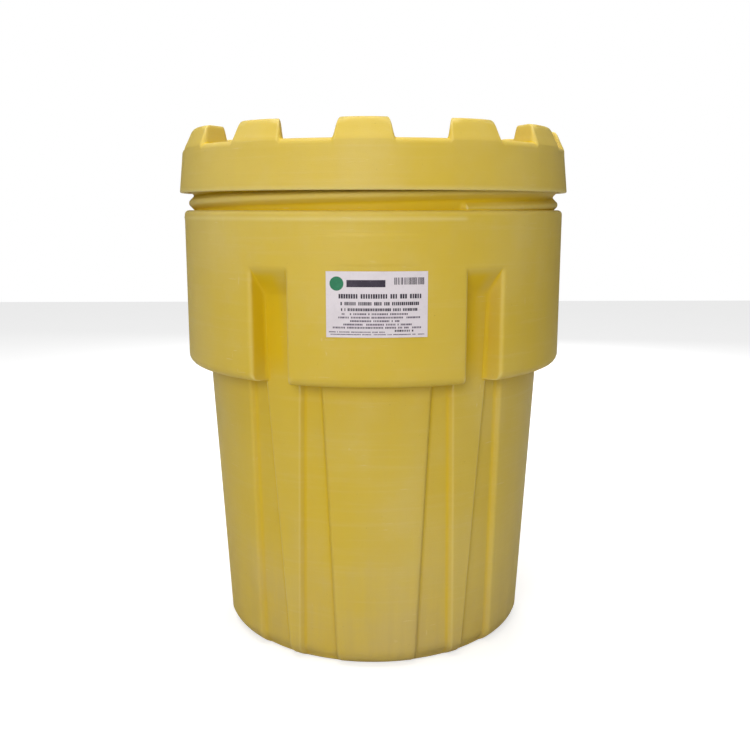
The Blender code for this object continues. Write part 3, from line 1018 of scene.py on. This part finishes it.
def printTree(material):
    # a row of plain blocks of uneven width, with some left out
    sizes = {"blocks": 10, "pitch": 0.01, "tall": 0.01, "thick": 0.0001, "blank": 0.1,
             "narrowest": 0.5, "widest": 0.85, "seed": 1}
    tree, geometry, size = newTree(material.name + "Row", sizes)
    line = tree.nodes.new("GeometryNodeMeshLine")
    plug(tree, size["blocks"], line.inputs["Count"])
    offset = tree.nodes.new("ShaderNodeCombineXYZ")
    plug(tree, size["pitch"], offset.inputs["X"])
    tree.links.new(offset.outputs[0], line.inputs["Offset"])
    block = tree.nodes.new("GeometryNodeMeshCube")
    for key, value in {"Size": (1.0, 1.0, 1.0), "Vertices X": 5, "Vertices Y": 2, "Vertices Z": 2}.items():
        block.inputs[key].default_value = value
    kept = tree.nodes.new("FunctionNodeRandomValue")
    kept.data_type = "BOOLEAN"
    plug(tree, 1.0 - size["blank"], kept.inputs["Probability"])
    plug(tree, size["seed"], kept.inputs["Seed"])
    wide = tree.nodes.new("FunctionNodeRandomValue")
    wide.data_type = "FLOAT"
    plug(tree, size["narrowest"] * size["pitch"], wide.inputs[2])
    plug(tree, size["widest"] * size["pitch"], wide.inputs[3])
    plug(tree, size["seed"], wide.inputs["Seed"])
    scale = tree.nodes.new("ShaderNodeCombineXYZ")
    tree.links.new(wide.outputs[1], scale.inputs["X"])
    plug(tree, size["tall"], scale.inputs["Y"])
    plug(tree, size["thick"], scale.inputs["Z"])
    copies = tree.nodes.new("GeometryNodeInstanceOnPoints")
    tree.links.new(line.outputs["Mesh"], copies.inputs["Points"])
    tree.links.new(kept.outputs[3], copies.inputs["Selection"])
    tree.links.new(block.outputs["Mesh"], copies.inputs["Instance"])
    tree.links.new(scale.outputs[0], copies.inputs["Scale"])
    endTree(tree, copies.outputs["Instances"], material)
    return tree


class Flat:
    # points and faces on the flat label, before it is bent to the drum
    def __init__(self):
        self.points, self.faces, self.inks = [], [], []

    def add(self, points, faces, ink):
        start = len(self.points)
        self.points += points
        self.faces += [[start + i for i in face] for face in faces]
        self.inks += [ink] * len(faces)


def addSheet(flat):
    across = np.linspace(-label["width"] / 2, label["width"] / 2, label["columns"] + 1)
    up = np.linspace(-label["height"] / 2, label["height"] / 2, label["rows"] + 1)
    front = [(x, y, label["thickness"]) for y in up for x in across]
    back = [(x, y, 0.0) for y in up for x in across]
    wide, count = len(across), len(front)
    faces = []
    for r in range(len(up) - 1):
        for c in range(wide - 1):
            i = r * wide + c
            faces.append((i, i + 1, i + wide + 1, i + wide))
            faces.append((count + i + wide, count + i + wide + 1, count + i + 1, count + i))
    border = list(range(wide)) + [wide * r + wide - 1 for r in range(1, len(up))]
    border += [count - 1 - i for i in range(1, wide)] + [wide * r for r in range(len(up) - 2, 0, -1)]
    for i, j in zip(border, border[1:] + border[:1]):
        faces.append((i, i + count, j + count, j))
    flat.add(front + back, faces, 0)


def addMark(flat):
    # a plain round dot, closed at its back
    top, back = label["thickness"] + label["ink"], label["thickness"] - label["sink"]
    sides = mark["sides"]
    loops = [(mark["radius"] * ring / mark["rings"], top) for ring in range(1, mark["rings"] + 1)]
    loops.append((mark["radius"], back))
    points = [(mark["across"], mark["up"], top), (mark["across"], mark["up"], back)]
    faces = []
    for index, (size, above) in enumerate(loops):
        now, inside = 2 + index * sides, 2 + (index - 1) * sides
        for side in range(sides):
            turn = 2 * math.pi * side / sides
            across, up = size * math.cos(turn), size * math.sin(turn)
            points.append((mark["across"] + across, mark["up"] + up, above))
            after = (side + 1) % sides
            if index == 0:
                faces.append((0, now + side, now + after))
            else:
                faces.append((inside + side, now + side, now + after, inside + after))
    last = 2 + (len(loops) - 1) * sides
    faces += [(1, last + (side + 1) % sides, last + side) for side in range(sides)]
    flat.add(points, faces, 3)


def addPrint(flat, trees):
    level = label["thickness"] + (label["ink"] - label["sink"]) / 2
    for seed, (name, across, up, blocks, wide, tall, blank, ink) in enumerate(prints):
        narrowest, widest = blockWidths.get(name, blockWidths["line"])
        pitch = wide / blocks
        sizes = {"blocks": blocks, "pitch": pitch, "tall": tall, "thick": label["ink"] + label["sink"],
                 "blank": blank, "narrowest": narrowest, "widest": widest, "seed": seed + firstSeed}
        piece = grown(newPiece(name, [], []), trees[ink], sizes)
        start = across - wide / 2 + pitch / 2
        points = [(v.co.x + start, v.co.y + up, v.co.z + level) for v in piece.data.vertices]
        flat.add(points, [list(p.vertices) for p in piece.data.polygons], {"black": 1, "grey": 2}[ink])
        bpy.data.objects.remove(piece)


def makeLabel():
    paper, black, grey, green = [labelMaterial(*ink) for ink in inks]
    flat = Flat()
    addSheet(flat)
    addMark(flat)
    addPrint(flat, {"black": printTree(black), "grey": printTree(grey)})
    verts = []
    for x, y, above in flat.points:
        # the corners lift a hair from the drum
        lift = label["curl"] * (abs(2 * x / label["width"]) * abs(2 * y / label["height"])) ** 4
        radius = bandRadius + label["back"] + above + lift
        turn = (x + label["aside"]) / bandRadius
        verts.append((radius * math.sin(turn), -radius * math.cos(turn), label["middle"] + y))
    piece = newPiece("labelSheet", verts, flat.faces)
    for material in (paper, black, grey, green):
        piece.data.materials.append(material)
    piece.data.polygons.foreach_set("material_index", flat.inks)
    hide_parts("label")
    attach(piece, "drum")


makeCamera()
makeStage()
print("camera, floor and lamps are in place")
makeDrum(polyMaterial("drumPoly", drum["dustTop"]))
print("drum is moulded")
makeLid(polyMaterial("lidPoly", lid["dustTop"]))
print("lid is moulded")
makeGasket()
makeLabel()
print("gasket and label are on")
